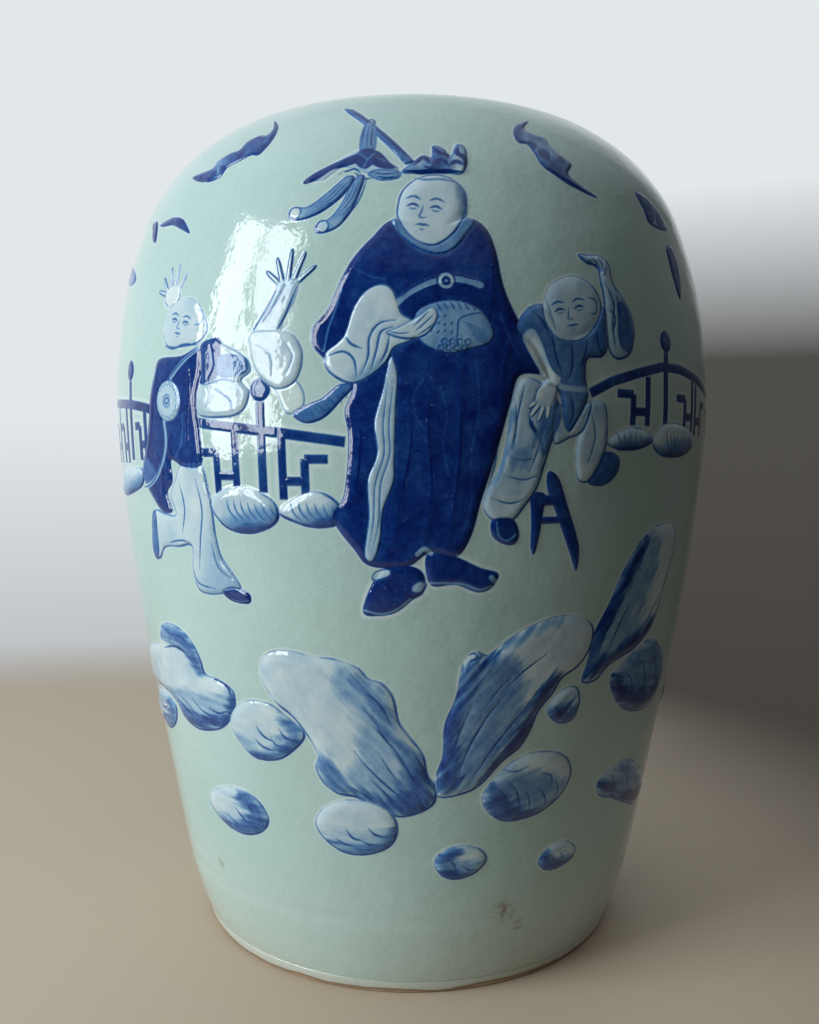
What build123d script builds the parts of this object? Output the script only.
from build123d import *
import os
from math import cos, degrees, radians, sin, sqrt

# Celadon ginger jar with raised slip figures, rocks, fence and bats.
# Millimetres and degrees, +Z up, origin at the middle of the foot's underside.
# Decoration is placed by (angle, height): angle is measured round the jar from -Y, which is
# the front, positive towards +X, and height is measured from the surface it stands on.

os.makedirs("parts", exist_ok=True)

# ---------------------------------------------------------------- driving dimensions
foot_radius = 86.0
foot_height = 5.0
foot_ring_width = 13.0
foot_bevel = 1.2
wall = 7.0
floor_top = 15.0
luting_height = 168.0          # where the two thrown halves are joined
mouth_radius = 36.0
neck_radius = 43.0
neck_lip_radius = 42.0
neck_lip_bevel = 1.0
jar_height = 320.0
side_reach = 140.0             # longer than any radius of the jar

# The outside wall from the foot upwards, as (radius, lean at start, lean at end).
# Lean is the angle outwards from the vertical. A radius of None is a straight run,
# and its third value is its length.
WALL = [
    (155.0, 22.0, 10.6),
    (None, 10.6, 74.5),
    (770.0, 10.6, 4.6),
    (228.0, 4.6, -7.3),
    (170.0, -7.3, -20.1),
    (66.0, -20.1, -56.0),
    (50.0, -56.0, -86.0),
]
shoulder_lean = -86.0          # the nearly flat top of the shoulder, up to the mouth

medallion_radius = 7.0

# How far each layer of slip stands proud of the wall
thin_slip = 0.8
figure_slip = 1.2
rock_slip = 1.4
top_slip = 1.8                 # what lies over a figure's robe
largest_slip_volume = 14000.0  # no single relief is bigger than this, in cubic mm


# ---------------------------------------------------------------- the wall's outline
def wall_point(centre, radius, lean):
    """The point of an arc where the wall leans by this angle."""
    return (centre[0] + radius * cos(radians(lean)), centre[1] - radius * sin(radians(lean)))


def wall_runs(offset):
    """The wall's runs moved out by offset, as (kind, start, end, centre, radius, leans)."""
    first_lean = WALL[0][1]
    start = (
        foot_radius + offset * cos(radians(first_lean)),
        foot_height - offset * sin(radians(first_lean)),
    )
    runs = []
    for radius, lean, last in WALL:
        if radius is None:
            end = (start[0] + last * sin(radians(lean)), start[1] + last * cos(radians(lean)))
            runs.append(("line", start, end, None, None, (lean, lean)))
        else:
            size = radius + offset
            centre = (start[0] - size * cos(radians(lean)), start[1] + size * sin(radians(lean)))
            end = wall_point(centre, size, last)
            runs.append(("arc", start, end, centre, size, (lean, last)))
        start = end
    length = (start[0] - mouth_radius) / -sin(radians(shoulder_lean))
    end = (mouth_radius, start[1] + length * cos(radians(shoulder_lean)))
    runs.append(("line", start, end, None, None, (shoulder_lean, shoulder_lean)))
    return runs


def wall_edges(offset):
    """The same runs as edges in the XZ plane."""
    edges = []
    for kind, start, end, centre, radius, leans in wall_runs(offset):
        first = (start[0], 0, start[1])
        last = (end[0], 0, end[1])
        if kind == "line":
            edges.append(Line(first, last))
        else:
            middle = wall_point(centre, radius, sum(leans) / 2)
            edges.append(ThreePointArc(first, (middle[0], 0, middle[1]), last))
    return edges


def radius_at(height):
    """The outside radius at a height, below the flat of the shoulder."""
    if height <= foot_height:
        return foot_radius
    for kind, start, end, centre, radius, leans in wall_runs(0.0):
        if height <= end[1]:
            if kind == "line":
                share = (height - start[1]) / (end[1] - start[1])
                return start[0] + share * (end[0] - start[0])
            return centre[0] + sqrt(radius**2 - (height - centre[1]) ** 2)
    return mouth_radius


def spun(edges):
    """A solid of revolution about Z from a closed set of edges in the XZ plane."""
    return revolve(make_face(Wire(edges)), Axis.Z, 360)


def closed_to_axis(offset):
    """The wall moved out by offset, filled in to the axis."""
    edges = wall_edges(offset)
    bottom = edges[0] @ 0
    top = edges[-1] @ 1
    edges.append(Line(top, (0, 0, top.Z)))
    edges.append(Line((0, 0, top.Z), (0, 0, bottom.Z)))
    edges.append(Line((0, 0, bottom.Z), bottom))
    return spun(edges)


# ---------------------------------------------------------------- body, neck and foot
def thrown_body():
    """The two thrown halves, split at the luting joint."""
    above_floor = Pos(0, 0, floor_top) * Cylinder(
        side_reach, jar_height, align=(Align.CENTER, Align.CENTER, Align.MIN)
    )
    mouth = Cylinder(mouth_radius, 2 * jar_height)
    cavity = closed_to_axis(-wall) & above_floor
    whole = closed_to_axis(0.0) - cavity - (mouth & above_floor)
    lower_space = Cylinder(side_reach, luting_height, align=(Align.CENTER, Align.CENTER, Align.MIN))
    return whole & lower_space, whole - lower_space


def neck_ring():
    """The low unglazed neck that stands on the shoulder round the mouth."""
    runs = wall_runs(0.0)
    mouth_edge = runs[-1][2][1]
    rise = cos(radians(shoulder_lean)) / -sin(radians(shoulder_lean))
    seat_height = mouth_edge - (neck_radius - mouth_radius) * rise
    corners = [
        (mouth_radius, 0, mouth_edge),
        (neck_radius, 0, seat_height),
        (neck_lip_radius, 0, jar_height - neck_lip_bevel),
        (neck_lip_radius - neck_lip_bevel, 0, jar_height),
        (mouth_radius + neck_lip_bevel, 0, jar_height),
        (mouth_radius, 0, jar_height - neck_lip_bevel),
    ]
    return spun(Polyline(*corners, close=True).edges())


def foot_ring():
    """The turned foot, unglazed, that the jar stands on."""
    inside = foot_radius - foot_ring_width
    corners = [
        (inside, 0, foot_height),
        (inside, 0, foot_bevel),
        (inside + foot_bevel, 0, 0),
        (foot_radius - 2 * foot_bevel, 0, 0),
        (foot_radius - foot_bevel / 2, 0, foot_bevel),
        (foot_radius, 0, foot_height),
    ]
    return spun(Polyline(*corners, close=True).edges())


# ---------------------------------------------------------------- raised slip
shells = {}


def slip_shell(low, high):
    """The thin layer between two distances from the wall, all round the jar."""
    if (low, high) not in shells:
        shells[(low, high)] = closed_to_axis(high) - closed_to_axis(low)
    return shells[(low, high)]


def facing_plane(angle):
    """A plane through the jar's axis whose normal points out at this angle."""
    turn = radians(angle)
    return Plane(origin=(0, 0, 0), x_dir=(cos(turn), sin(turn), 0), z_dir=(sin(turn), -cos(turn), 0))


def middle_of(outline):
    angles = [angle for angle, height in outline]
    return (min(angles) + max(angles)) / 2


def flattened(outline, facing):
    """Outline points (angle, height) as seen from straight in front of the plane."""
    return [(radius_at(height) * sin(radians(angle - facing)), height) for angle, height in outline]


def soft_face(outline, facing):
    """A face with a smooth edge through the points."""
    return make_face(Spline(*flattened(outline, facing), periodic=True))


def sharp_face(outline, facing):
    """A face with straight sides between the points."""
    return make_face(Polyline(*flattened(outline, facing), close=True))


def prism(face, facing):
    """The face pushed out from the axis past the wall."""
    return extrude(facing_plane(facing) * face, side_reach)


def cut_by(solid, covers):
    """The solid less what lies under each of the outlines."""
    for cover in covers:
        cover_facing = middle_of(cover)
        solid = solid - prism(soft_face(cover, cover_facing), cover_facing)
    return solid


def slip(outline, high, low=0.0, smooth=True, under=()):
    """One raised shape. Outlines in under lie over it, and are cut out of it."""
    facing = middle_of(outline)
    make = soft_face if smooth else sharp_face
    solid = prism(make(outline, facing), facing) & slip_shell(low, high)
    solid = cut_by(solid, under)
    assert solid.volume < largest_slip_volume, outline
    return solid


def bars(segments, high, under=()):
    """Straight strips as (start, end, width), joined where they cross."""
    ends = [point for start, end, width in segments for point in (start, end)]
    facing = middle_of(ends)
    face = None
    for start, end, width in segments:
        (x1, y1), (x2, y2) = flattened([start, end], facing)
        length = sqrt((x2 - x1) ** 2 + (y2 - y1) ** 2)
        side_x = -(y2 - y1) / length * width / 2
        side_y = (x2 - x1) / length * width / 2
        corners = [
            (x1 + side_x, y1 + side_y),
            (x2 + side_x, y2 + side_y),
            (x2 - side_x, y2 - side_y),
            (x1 - side_x, y1 - side_y),
        ]
        strip = make_face(Polyline(*corners, close=True))
        face = strip if face is None else face + strip
    return cut_by(prism(face, facing) & slip_shell(0.0, high), under)


def carried(outline, pivot, to, rise=0.0, mirror=False):
    """The outline moved round the jar so that the angle pivot lands on to, and mirrored there."""
    sign = -1 if mirror else 1
    return [(to + sign * (angle - pivot), height + rise) for angle, height in outline]


def disc(angle, height, radius, points=12):
    """A round outline on the wall."""
    spread = degrees(radius / radius_at(height))
    turns = [radians(360 * i / points) for i in range(points)]
    return [(angle + spread * cos(turn), height + radius * sin(turn)) for turn in turns]


# ---------------------------------------------------------------- outlines, front
ROBE = [
    (-2.6, 256), (-6, 250.5), (-8.6, 244.5), (-10.4, 238), (-12.2, 229), (-14.3, 224), (-14.4, 218.5),
    (-12.4, 214), (-8.5, 206.5), (-9.5, 199), (-9, 190), (-9.8, 174), (-11.6, 166.5), (-8.4, 157),
    (-6.5, 152.5), (-3, 151.5), (0, 152.5), (3, 156.5), (6.8, 155), (9, 161.5), (10.3, 172),
    (12.3, 186), (14.2, 201), (15.5, 209.5), (18.5, 210.5), (20.3, 209.5), (18.3, 217.5),
    (15.6, 226), (13.4, 236), (12.4, 247), (11, 254), (8.3, 256.6), (4, 252),
]
HEAD = [
    (-2.3, 261), (-1.4, 266), (1.4, 270), (5.2, 270.3), (8, 266), (8.2, 260), (6.6, 253),
    (4.2, 248.6), (2.2, 247.8), (-0.4, 250.5), (-2.2, 256),
]
TOPKNOT = [
    (-1.8, 271.3), (-0.6, 274), (1.6, 277.2), (3, 276.6), (3.4, 280.8), (5.2, 279.6), (6, 276.6),
    (7.4, 281.6), (8.8, 280.4), (8.8, 275.4), (7.8, 271.2), (4.8, 271.4), (1.4, 271),
]
HAIRPIN = ((-14.2, 298.2), (-0.6, 274.6), 1.5)
BOW = [
    (-18.2, 269.6), (-16.2, 272.4), (-12, 276.6), (-9, 279.8), (-7.2, 282.4), (-6, 278.6), (-4, 275),
    (-2.4, 273.4), (-2.2, 269.4), (-5, 268.6), (-7.4, 271.2), (-8.6, 272.4), (-11.6, 274), (-14.4, 269.8),
]
RIBBON_UPPER = [(-19.6, 258.6), (-19.2, 261.4), (-16.4, 261.4), (-13.4, 266), (-10.6, 270.6), (-9.4, 269.4),
                (-11.4, 263.6), (-14.6, 259), (-18, 257.2)]
RIBBON_LOWER = [(-9.2, 269.8), (-7.8, 270.2), (-8.6, 263.6), (-9.6, 258.6), (-11.6, 254), (-14.2, 252.6),
                (-15, 254.8), (-12.6, 257.4), (-11, 262.2)]
SLEEVE = [
    (-4.3, 236), (-6.6, 234.3), (-8.4, 229), (-9.8, 220.5), (-12.4, 215.6), (-12, 210.6), (-8.8, 206.8),
    (-6, 208.6), (-3.5, 213), (-2.4, 217.2), (0.2, 219.6), (0.6, 224.6), (-1.4, 227.4), (-2.6, 234),
]
DISH = [
    (0.6, 227.6), (3.6, 231), (7, 231.2), (10, 228.6), (11.8, 222.6), (10.8, 218.6), (8, 217),
    (5.4, 215.6), (2.4, 217.2), (0.6, 221),
]
SASH = [
    (-3, 214.6), (-1.9, 209.6), (-2.1, 200), (-2.3, 185), (-2.4, 178), (-4, 169), (-4.4, 160),
    (-5.6, 153.6), (-6.9, 155.6), (-6.2, 167), (-6.3, 178), (-4.9, 186), (-5.3, 195), (-4.2, 204),
]
LEFT_SHOE = [
    (-5.8, 146.6), (-7.3, 137.6), (-4.6, 136.6), (-2, 138), (0.2, 141.6), (2, 144.2), (2, 149.4),
    (0.2, 150.8), (-3.4, 150),
]
RIGHT_SHOE = [
    (2.6, 154.4), (6.8, 153.2), (10.5, 151.6), (13.5, 149.6), (12.6, 145.4), (10.4, 144), (7, 146.4),
    (3.6, 146), (2.5, 149),
]
FAN_LEAF = [
    (-17.4, 198), (-15.4, 195.4), (-12.6, 197), (-10, 202.2), (-8.9, 206), (-10.4, 206), (-12.8, 202.6),
    (-15.2, 200.6),
]
LEFT_HEAD = [
    (-43.8, 228), (-42.4, 234), (-39, 236.4), (-36, 235), (-33.6, 229), (-33, 224.6), (-35, 221.4),
    (-38.2, 220.6), (-42, 221), (-43.6, 224),
]
LEFT_JACKET = [
    (-44.7, 217.4), (-38.6, 217.6), (-34.4, 219.8), (-33.8, 213), (-35, 203), (-34.4, 192), (-34.6, 182.4),
    (-39, 182), (-42, 184), (-42.2, 177), (-44, 173), (-43, 167), (-46, 166.6), (-49.3, 171.4),
    (-52.4, 179), (-50, 188), (-48.4, 197), (-47.5, 206), (-46.2, 213),
]
LEFT_HAND = [
    (-44.6, 236.6), (-45.2, 239), (-47, 240.2), (-46.8, 241.4), (-44.9, 240.6), (-46, 244.4), (-45.2, 245),
    (-43.9, 241.4), (-43.9, 247.6), (-43, 247.9), (-42.6, 241.6), (-41.7, 247.8), (-40.9, 247.6),
    (-41.4, 241.2),
    (-39.4, 244.6), (-38.7, 244), (-40.3, 239.6), (-40.4, 236.8), (-42, 235.6),
]
LEFT_CUFF = [
    (-33.4, 219.8), (-31.4, 222.2), (-29.6, 220.6), (-25.4, 216), (-24.4, 211.4), (-26, 208.6),
    (-24.6, 205), (-25.6, 199.6), (-28.6, 197.4), (-33, 198), (-34.2, 201.6), (-33, 208.6),
]
LEFT_FOREARM = [
    (-25, 219.6), (-24, 225), (-21.8, 231), (-20.3, 236.4), (-22.9, 241), (-22.1, 242), (-20, 239.4),
    (-21.3, 245), (-20.4, 245.8), (-18.9, 240.2), (-18.9, 248), (-17.9, 248.2), (-17.8, 240.2), (-16.5, 247),
    (-15.7, 246.8), (-16.7, 239.6), (-14.6, 242.9), (-14, 242), (-16.4, 236.6), (-17.2, 230), (-18.4, 224),
    (-16.3, 219), (-16, 212.6), (-17, 207.8), (-16, 203.4), (-16.4, 201.4), (-18.6, 201), (-20, 206),
    (-22.4, 208.6), (-24.2, 214),
]
LEFT_TROUSERS = [
    (-39.4, 180.6), (-34.8, 180.8), (-33.6, 176), (-32.9, 168), (-32.6, 160), (-31.8, 153), (-29.6, 147.4),
    (-28.4, 144), (-31.6, 143), (-35.6, 140), (-38.2, 141.6), (-39, 148), (-38.6, 155.6), (-42, 155),
    (-46.5, 154.2), (-49, 150), (-51.4, 150.6), (-51.6, 156), (-50, 163.6), (-48.4, 167), (-45.4, 165),
    (-42, 164.8), (-42.4, 170), (-41.2, 176),
]
LEFT_TROUSER_SHOE = [(-32.2, 141.2), (-30, 142.4), (-27.2, 142), (-26.5, 140), (-27.2, 138.2),
                     (-30.4, 138.6)]
RIGHT_HEAD = [
    (19.6, 232), (21, 238), (25, 241.4), (28.4, 239), (30, 233), (28.8, 227), (26, 221.6), (22.2, 221),
    (20, 226),
]
RIGHT_JACKET = [
    (15.9, 225.6), (17.2, 230.4), (19.8, 231.4), (21.6, 226), (24, 222.6), (27.4, 225), (30.2, 232.4),
    (31, 228), (30.6, 221), (29.8, 217), (27, 216), (26.6, 210), (27, 204), (25.2, 197), (23.8, 193.4),
    (22.8, 197), (22.2, 204.4), (20.6, 208.6), (19.6, 214), (18.6, 219), (17.2, 221.6),
]
RIGHT_ARM = [
    (26.4, 248.4), (27.8, 246), (29.8, 245), (30.6, 240), (31.6, 235), (31.7, 227), (31.8, 219.4),
    (33, 216.6), (35.8, 219), (36.9, 226), (36.2, 232), (34.3, 237), (32.7, 241), (32.4, 246.5),
    (30.6, 249), (28.2, 248.6),
]
RIGHT_LEG_NEAR = [
    (16.5, 209), (19.4, 206.6), (21.6, 202), (21.9, 196), (21, 190), (20, 183), (19, 176), (17, 170),
    (15.4, 166.4), (12.5, 166), (10.9, 170), (11.2, 175), (13.2, 182), (14.2, 190), (14.8, 199),
    (15.2, 206),
]
RIGHT_LEG_FAR = [
    (27.4, 202.4), (30, 202.4), (31, 197), (31, 189), (29.8, 183), (28, 178), (26, 179), (25.3, 186),
    (25.5, 191.6), (26.1, 196.6),
]
RIGHT_SOLE = [(28.6, 177.6), (31, 176.6), (33.4, 179.4), (34.3, 184), (33, 186.8), (31.2, 187), (30, 182)]
RIGHT_TOE = [(12.5, 165.2), (15.2, 165.4), (16.5, 161.6), (15.6, 158.6), (13.6, 159.4), (12.2, 162)]
BAT = [
    (-46, 281), (-42, 278.6), (-39.5, 276.4), (-36.5, 277), (-35.5, 280), (-33, 281.5), (-30.5, 283),
    (-28.6, 282.6), (-27.2, 287), (-27.4, 292), (-30.4, 297.6), (-28.8, 293.2), (-29.5, 290.6),
    (-31.5, 291.2), (-33.8, 289.6), (-34.6, 286.6), (-37, 286.2), (-39.5, 284.4), (-40.4, 281.4),
]
BAT_TURNED = [
    (23.5, 295.4), (20, 292), (18.6, 288.5), (18.8, 284.8), (20.5, 284.4), (21.5, 281), (22.3, 277),
    (25, 273.8), (29, 270.4), (32.6, 269), (29, 272.5), (27.2, 275.4), (28.6, 279.5), (26.6, 282.6),
    (25.3, 285.6), (25, 288.4), (22.4, 289.4), (21.2, 291),
]
BAT_SIDE = [(44.4, 275.6), (48.4, 275), (52, 271), (53.6, 266), (49.6, 264.4), (46, 265.2), (45.4, 269.6)]
LEAF_LONG = [(-53, 266.3), (-48, 266.8), (-44, 264.7), (-41.4, 260.6), (-40.6, 258.6), (-43.4, 261),
             (-47, 263.8),
             (-51, 264.8)]
LEAF_SHORT = [(-58.6, 269), (-55.6, 268.6), (-53.6, 264.6), (-52.6, 260), (-54.4, 261), (-56.8, 265.6)]
BRANCH = [(-74, 259), (-68, 256.4), (-62, 252.4), (-59.6, 248.6), (-63, 247.8), (-69, 250.4), (-74, 252.6)]
TALL_LEAF = [(50.4, 258), (53, 259.4), (54.4, 254), (54.2, 247), (52.4, 240.6), (51, 246), (50.4, 252)]
CLUSTER_MAIN = [
    (-56, 118), (-54, 124), (-50, 126.6), (-45, 125.6), (-42, 121.6), (-40.4, 116), (-39.6, 111.4),
    (-36, 110.4), (-32.8, 107), (-33.2, 100.5), (-35.6, 95), (-39, 91.5), (-45, 89.5), (-50, 91.8),
    (-53, 97), (-59, 99.6), (-68, 99.4), (-72, 104), (-68, 111), (-62, 115),
]
CLUSTER_LOW = [
    (-54, 94.4), (-54, 90.4), (-57, 85.5), (-62, 82.5), (-68, 84), (-70.4, 90), (-65, 95.6), (-59, 96.8),
]
BIG_ROCK_LEFT = [
    (-25, 121.4), (-21, 124), (-16, 122.6), (-12, 122), (-8.5, 119.6), (-6.8, 116.2), (-4.5, 114.6),
    (-2.7, 110), (-1.8, 102), (0, 97), (2.3, 91), (3, 84), (4.4, 79.6), (4.4, 74), (2, 70.5), (-2, 69),
    (-5.5, 71.5), (-9.5, 75.2), (-13, 76), (-15.8, 79.6), (-17, 85), (-16.4, 89), (-18, 95.2),
    (-20.6, 101.4), (-24, 106.4), (-26.2, 114),
]
BIG_ROCK_RIGHT = [
    (4.6, 82), (5.7, 90), (5.9, 101), (7.6, 110), (8.5, 121), (10.5, 125), (12.6, 123.8), (15.5, 128),
    (19, 132), (24, 135), (29, 134.4), (32.2, 130), (32, 123), (30, 117.6), (26.8, 114), (25.2, 109),
    (22.8, 103.6), (21.6, 97), (19.8, 91.4), (16.5, 86.8), (13, 79.6), (9.5, 76.6), (5.6, 76),
]
SLAB_ROCK = [
    (32.6, 113), (32.9, 118), (33.4, 128), (35, 137), (37, 146), (40, 155), (44, 161.4), (49, 163.4),
    (53, 161.4), (54.3, 155), (53, 147), (51.5, 138), (50, 128.6), (48, 124.4), (44, 120), (38, 116.4),
    (34.4, 111.4),
]
ROCK_UNDER_SLAB = [
    (38.4, 111), (41.6, 115.6), (46, 119.6), (50, 121.4), (55, 118), (60, 111), (61, 101), (56, 95.2),
    (48, 96), (42, 101),
]
ROCK_MIDDLE = [
    (13.6, 76), (16.4, 82.6), (19.6, 86.6), (22.6, 88.8), (27, 88.4), (30.5, 85), (32, 78.5), (30, 71.5),
    (25, 66.5), (18.5, 65.5), (14.5, 70),
]
ROCK_SMALL = [(25, 104), (27.4, 109), (30, 110.4), (31.4, 105), (30.4, 98.8), (27, 98.6)]
ROCK_LOW_RIGHT = [
    (40, 72), (43, 76.2), (48, 77.8), (55, 73.6), (62, 66), (66, 58.6), (62, 53.4), (54, 58), (46, 64),
    (41.5, 67),
]
PEBBLE_HIGH = [
    (-34.6, 96), (-32.4, 102.4), (-29, 105.2), (-24.8, 104.8), (-21, 100.2), (-19, 95.4), (-21.2, 89.4),
    (-25, 85.2), (-30, 84.8), (-33.4, 90),
]
PEBBLE_UNDER = [
    (-17.9, 64.6), (-16, 70), (-12, 73.4), (-7, 73), (-3.6, 69.8), (-2.1, 64.8), (-3.4, 58.5),
    (-7.5, 55), (-12, 54.7), (-16, 58.5),
]
PEBBLE_FAR_LEFT = [
    (-45.8, 62), (-42, 68.5), (-36, 71.6), (-31, 69.4), (-28.4, 63), (-30.6, 57), (-36, 54), (-42, 56),
]
PEBBLE_SLIM = [(4.9, 53.4), (7, 57), (10.5, 58.4), (14, 56), (15.2, 52), (13, 47.6), (9, 45.8), (6, 48.2)]
PEBBLE_DARK = [(26.9, 48.4), (29, 52.8), (33, 53.8), (36.4, 50), (35.8, 45.6), (32, 43.6), (28.6, 44.6)]
BOULDER_LEFT = [
    (-33.2, 169.8), (-31, 174.2), (-27, 175.8), (-23.5, 174.2), (-21, 171), (-20.6, 166.6), (-22, 163.2),
    (-26, 161), (-30.5, 163),
]
BOULDER_MIDDLE = [
    (-20.1, 168), (-18, 172), (-15, 174.4), (-12.6, 173.8), (-11.2, 170), (-12.2, 165), (-14, 163.6),
    (-17.5, 165),
]
BOULDER_FAR = [(-72, 172.6), (-66, 179.4), (-58, 181), (-53.6, 181), (-53.6, 176), (-56, 173.4), (-64, 171)]
BOULDER_RIGHT = [(31.6, 190.6), (33.5, 194), (37, 195.4), (40.2, 194), (41.4, 191), (38, 188.4),
                 (33.6, 188.2)]
BOULDER_RIGHT_FAR = [
    (42.4, 191.6), (45, 196.8), (50, 197.4), (55, 195), (57, 190), (52, 186.6), (46, 186.2), (43, 188),
]

# ---------------------------------------------------------------- outlines, back
CLOUD = [
    (-11, 2), (-8, 7), (-3, 9), (1, 6.6), (6, 9.4), (11, 6), (13, 1), (8, -1), (3, 1), (-3, -1.4), (-8, -1),
]
PINE_TRUNK = [
    (226, 132), (229, 150), (227, 170), (230, 190), (235, 208), (233, 226), (237, 244), (240, 244),
    (237.6, 226), (240, 208), (235, 190), (232.6, 170), (235, 150), (238, 132), (232, 129),
]
PINE_TUFTS = [(226, 246), (236, 256), (247, 249), (220, 222), (246, 224), (250, 200), (222, 196)]
pine_tuft_radius = 9.0


# ---------------------------------------------------------------- fence
rail_width = 3.1
bar_width = 2.7
post_width = 3.0
post_knob_radius = 3.5
fret_upper_share = 0.62         # how far up a pane its two cross pieces sit
fret_lower_share = 0.28


def fret_cell(left, right, low, top, flipped=False):
    """One pane of stepped lattice under the rail."""
    if flipped:
        left, right = right, left
    middle = (left + right) / 2
    upper = low + fret_upper_share * (top - low)
    lower = low + fret_lower_share * (top - low)
    return [
        ((right, low), (right, top), bar_width),
        ((middle, low), (middle, upper), bar_width),
        ((left, upper), (middle, upper), bar_width),
        ((middle, lower), (right, lower), bar_width),
    ]


def rail(points):
    """A hand rail through the points."""
    return [(start, end, rail_width) for start, end in zip(points, points[1:])]


def fence(rail_points, panes, posts, under=()):
    """A rail, its lattice and posts, with a round knob on each post."""
    segments = rail(rail_points)
    for pane in panes:
        segments += fret_cell(*pane)
    for angle, low, high in posts:
        segments.append(((angle, low), (angle, high), post_width))
    pieces = [bars(segments, thin_slip, under)]
    for angle, low, high in posts:
        pieces.append(slip(disc(angle, high + post_knob_radius, post_knob_radius), thin_slip))
    return pieces


# ---------------------------------------------------------------- write the nodes
node_count = 0


def save(name, *pieces):
    """Write one node as a group of separate solids."""
    global node_count
    solids = []
    for piece in pieces:
        solids += piece.solids()
    assert solids, name
    shape = solids[0] if len(solids) == 1 else Compound(children=solids)
    shape.label = name
    export_step(shape, os.path.join("parts", name + ".step"))
    node_count += 1


lower_body, upper_body = thrown_body()
save("lower_body", lower_body)
save("upper_body", upper_body)
save("neck_ring", neck_ring())
save("foot_ring", foot_ring())

# The robed figure in the middle of the front
save("robe", slip(ROBE, figure_slip, under=(HEAD,)))
save("figure_head", slip(HEAD, top_slip))
save("topknot", slip(TOPKNOT, figure_slip, smooth=False, under=(HEAD,)))
save("hairpin", bars([HAIRPIN], figure_slip, under=(TOPKNOT, BOW)))
save("hair_ribbons",
     slip(BOW, figure_slip, under=(HEAD, TOPKNOT)),
     slip(RIBBON_UPPER, thin_slip, under=(BOW,)),
     slip(RIBBON_LOWER, thin_slip, under=(BOW, RIBBON_UPPER)))
save("sleeve", slip(SLEEVE, top_slip, figure_slip, under=(DISH,)))
save("offering_dish", slip(DISH, top_slip, figure_slip))
save("sash", slip(SASH, top_slip, figure_slip, under=(SLEEVE,)))
save("shoes", slip(LEFT_SHOE, figure_slip, under=(ROBE,)), slip(RIGHT_SHOE, figure_slip, under=(ROBE,)))
save("fan_leaf", slip(FAN_LEAF, thin_slip, under=(ROBE,)))

# The standing attendant on the left
save("left_jacket", slip(LEFT_JACKET, figure_slip, under=(LEFT_HEAD,)))
MEDALLION = disc(-41.8, 203.4, medallion_radius)
save("left_medallion", slip(MEDALLION, top_slip, figure_slip))
save("left_head", slip(LEFT_HEAD, figure_slip))
save("left_hand", slip(LEFT_HAND, thin_slip, smooth=False, under=(LEFT_HEAD,)))
save("left_cuff", slip(LEFT_CUFF, figure_slip, under=(LEFT_JACKET, LEFT_HEAD)))
save("left_forearm", slip(LEFT_FOREARM, thin_slip, smooth=False, under=(LEFT_CUFF, FAN_LEAF)))
save("left_trousers", slip(LEFT_TROUSERS, figure_slip, under=(LEFT_JACKET,)))
save("left_shoe", slip(LEFT_TROUSER_SHOE, figure_slip, under=(LEFT_TROUSERS,)))

# The seated attendant on the right, on a splayed stool
save("right_jacket", slip(RIGHT_JACKET, figure_slip, under=(RIGHT_HEAD, ROBE)))
save("right_head", slip(RIGHT_HEAD, top_slip))
save("right_arm", slip(RIGHT_ARM, figure_slip, under=(RIGHT_JACKET, RIGHT_HEAD)))
save("right_legs", slip(RIGHT_LEG_NEAR, figure_slip, under=(RIGHT_JACKET, ROBE)),
     slip(RIGHT_LEG_FAR, figure_slip, under=(RIGHT_JACKET,)))
save("right_shoes", slip(RIGHT_SOLE, figure_slip, under=(RIGHT_LEG_FAR,)),
     slip(RIGHT_TOE, figure_slip, under=(RIGHT_LEG_NEAR,)))
STOOL_LEG_LEFT = [
    (18.2, 174), (20.4, 174), (20.2, 167), (19.8, 160), (19.2, 155.4), (18.6, 158), (18.5, 164), (18.3, 169),
]
STOOL_LEG_RIGHT = [
    (20.8, 181), (22.6, 179), (24.6, 170), (26.4, 162), (27.4, 156), (27.2, 149.6), (25.8, 155), (24.1, 162),
    (22.2, 170), (20.8, 176),
]
STOOL_RAILS = [((18.6, 172.2), (23.6, 172.2), 3.2), ((19, 166), (24.6, 166), 2.2)]
STOOL_LEGS = (STOOL_LEG_LEFT, STOOL_LEG_RIGHT)
save("stool", *[slip(outline, thin_slip, under=(RIGHT_LEG_NEAR,)) for outline in STOOL_LEGS],
     bars(STOOL_RAILS, thin_slip, under=(RIGHT_LEG_NEAR, *STOOL_LEGS)))

# Fences and the boulders under them
BOULDERS = (BOULDER_LEFT, BOULDER_MIDDLE, BOULDER_FAR, BOULDER_RIGHT, BOULDER_RIGHT_FAR)
LEFT_RAIL = [(-74, 206), (-66, 205), (-56, 203.6), (-50, 202), (-34, 195.6), (-20, 192.4), (-9.6, 189.6)]
LEFT_PANES = [(-72, -65, 183, 205), (-64, -59, 183, 204), (-54.4, -50, 184, 203), (-35, -27.6, 173, 194.6),
              (-19.4, -12.2, 172, 192, True)]
LEFT_POSTS = [(-22.8, 174, 202), (-56.4, 184, 212)]
save("fence_left", *fence(LEFT_RAIL, LEFT_PANES, LEFT_POSTS,
     under=(ROBE, LEFT_JACKET, LEFT_TROUSERS, LEFT_CUFF, BOULDER_LEFT, BOULDER_MIDDLE, BOULDER_FAR)))
RIGHT_RAIL = [(27.6, 205.4), (32, 209.6), (38, 213), (44, 215.8), (50, 216), (58, 214), (68, 210), (76, 209)]
RIGHT_PANES = [(33, 40.2, 196, 212), (49, 56, 195, 213), (58, 65, 194, 212, True), (67, 74, 194, 209)]
RIGHT_POSTS = [(45.4, 195, 221)]
save("fence_right", *fence(RIGHT_RAIL, RIGHT_PANES, RIGHT_POSTS,
     under=(RIGHT_JACKET, RIGHT_LEG_FAR, BOULDER_RIGHT, BOULDER_RIGHT_FAR)))
save("boulders", *[slip(outline, rock_slip, under=(ROBE,)) for outline in BOULDERS])

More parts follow.
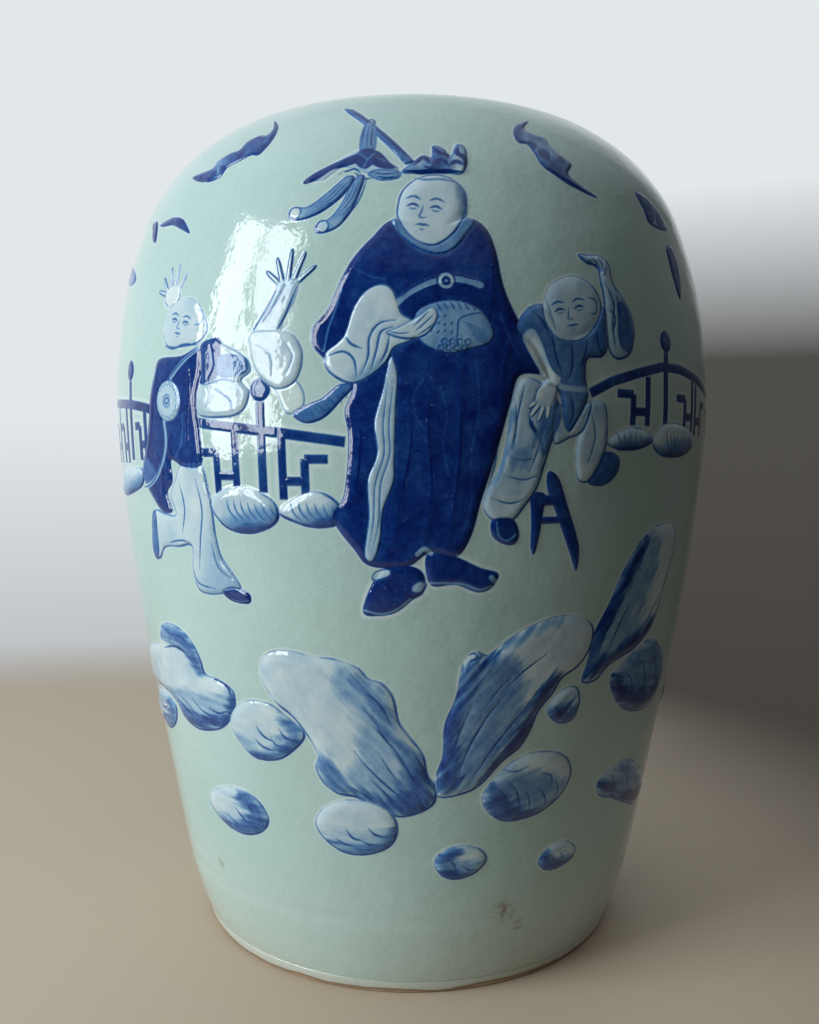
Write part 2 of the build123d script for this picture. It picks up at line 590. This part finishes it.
# Bats and leaves on the shoulder
save("bats", slip(BAT, thin_slip, smooth=False), slip(BAT_TURNED, thin_slip, smooth=False),
     slip(BAT_SIDE, thin_slip, smooth=False))
LEAVES = (LEAF_LONG, LEAF_SHORT, BRANCH, TALL_LEAF)
save("leaves", *[slip(outline, thin_slip, smooth=False) for outline in LEAVES])

# Rocks round the foot of the scene
save("rock_cluster", slip(CLUSTER_MAIN, rock_slip))
save("rock_cluster_low", slip(CLUSTER_LOW, rock_slip, under=(CLUSTER_MAIN,)))
save("big_rock_left", slip(BIG_ROCK_LEFT, rock_slip))
save("big_rock_right", slip(BIG_ROCK_RIGHT, rock_slip, under=(BIG_ROCK_LEFT,)))
save("slab_rock", slip(SLAB_ROCK, rock_slip, under=(BIG_ROCK_RIGHT,)))
save("rock_under_slab", slip(ROCK_UNDER_SLAB, rock_slip, under=(SLAB_ROCK,)))
save("rock_middle", slip(ROCK_MIDDLE, rock_slip, under=(BIG_ROCK_RIGHT,)))
save("rock_low_right", slip(ROCK_LOW_RIGHT, rock_slip))
NEAR_PEBBLES = (PEBBLE_HIGH, PEBBLE_UNDER)
FREE_PEBBLES = (PEBBLE_FAR_LEFT, PEBBLE_SLIM, PEBBLE_DARK)
save("pebbles",
     *[slip(outline, rock_slip, under=(CLUSTER_MAIN, BIG_ROCK_LEFT)) for outline in NEAR_PEBBLES],
     *[slip(outline, rock_slip) for outline in FREE_PEBBLES],
     slip(ROCK_SMALL, rock_slip, under=(BIG_ROCK_RIGHT,)))

# The back of the jar: a second robed figure and attendant by the fence, and a pine
back_middle = 182.0
back_left = 142.0


def back_figure(outline):
    return carried(outline, 0, back_middle, mirror=True)


def back_attendant(outline):
    return carried(outline, -41.8, back_left, mirror=True)


save("back_robe", slip(back_figure(ROBE), figure_slip, under=(back_figure(HEAD),)))
save("back_figure_head", slip(back_figure(HEAD), top_slip))
save("back_topknot", slip(back_figure(TOPKNOT), figure_slip, smooth=False, under=(back_figure(HEAD),)))
save("back_sleeve", slip(back_figure(SLEEVE), top_slip, figure_slip, under=(back_figure(DISH),)))
save("back_dish", slip(back_figure(DISH), top_slip, figure_slip))
save("back_sash", slip(back_figure(SASH), top_slip, figure_slip, under=(back_figure(SLEEVE),)))
save("back_shoes", *[slip(back_figure(shoe), figure_slip, under=(back_figure(ROBE),))
     for shoe in (LEFT_SHOE, RIGHT_SHOE)])
save("back_attendant_jacket", slip(back_attendant(LEFT_JACKET), figure_slip, under=(back_attendant(LEFT_HEAD),)))
save("back_attendant_head_hand", slip(back_attendant(LEFT_HEAD), figure_slip),
     slip(back_attendant(LEFT_HAND), thin_slip, smooth=False, under=(back_attendant(LEFT_HEAD),)))
save("back_attendant_trousers", slip(back_attendant(LEFT_TROUSERS), figure_slip,
     under=(back_attendant(LEFT_JACKET),)))

BACK_RAIL = [(84, 210), (96, 213), (110, 211), (124, 206), (138, 202), (152, 198), (166, 196)]
BACK_PANES = [(86, 93, 186, 210), (95, 102, 188, 212, True), (113, 120, 184, 209),
              (122, 129, 182, 205, True),
              (154, 161, 178, 197)]
BACK_POSTS = [(107.5, 184, 217)]
back_boulders = [
    carried(BOULDER_RIGHT_FAR, 50, 96, rise=-10),
    carried(BOULDER_LEFT, -27, 118, rise=8),
    carried(BOULDER_MIDDLE, -15, 158, rise=2),
    carried(BOULDER_LEFT, -27, 208, rise=4, mirror=True),
    carried(BOULDER_RIGHT_FAR, 50, 264, rise=-14),
]
save("fence_back", *fence(BACK_RAIL, BACK_PANES, BACK_POSTS,
     under=(back_figure(ROBE), back_attendant(LEFT_JACKET), back_attendant(LEFT_TROUSERS), *back_boulders[:3])))
save("boulders_back", *[slip(outline, rock_slip, under=(back_figure(ROBE),)) for outline in back_boulders])
save("bats_back", *[slip(carried(outline, -36, to, rise), thin_slip, smooth=False)
     for outline, to, rise in ((BAT, 98, -6), (BAT, 150, 2), (BAT, 212, -6))],
     slip(carried(BAT_TURNED, 25, 276, 0), thin_slip, smooth=False))
save("clouds", *[slip([(at + angle, level + height) for angle, height in CLOUD], thin_slip)
     for at, level in ((120, 240), (268, 246))])
TUFTS = [disc(angle, height, pine_tuft_radius) for angle, height in PINE_TUFTS]
save("pine_trunk", slip(PINE_TRUNK, figure_slip, under=TUFTS))
save("pine_tufts", *[slip(outline, figure_slip) for outline in TUFTS])
back_rocks = [
    carried(ROCK_MIDDLE, 23, 84, rise=16),
    carried(BIG_ROCK_LEFT, -11, 112),
    carried(BIG_ROCK_RIGHT, 18, 146),
    carried(SLAB_ROCK, 43, 176, rise=-34),
    carried(BIG_ROCK_LEFT, -11, 214, rise=-8, mirror=True),
    carried(ROCK_UNDER_SLAB, 49, 246, rise=2),
    carried(ROCK_MIDDLE, 23, 270, rise=-6, mirror=True),
]
save("rocks_back", *[slip(outline, rock_slip) for outline in back_rocks])
back_pebbles = [
    carried(PEBBLE_UNDER, -10, 94), carried(PEBBLE_SLIM, 10, 126), carried(PEBBLE_FAR_LEFT, -37, 168, rise=-6),
    carried(PEBBLE_UNDER, -10, 185, rise=-4), carried(PEBBLE_DARK, 31, 230), carried(PEBBLE_SLIM, 10, 252, rise=2),
]
save("pebbles_back", *[slip(outline, rock_slip) for outline in back_pebbles])
print("nodes", node_count)
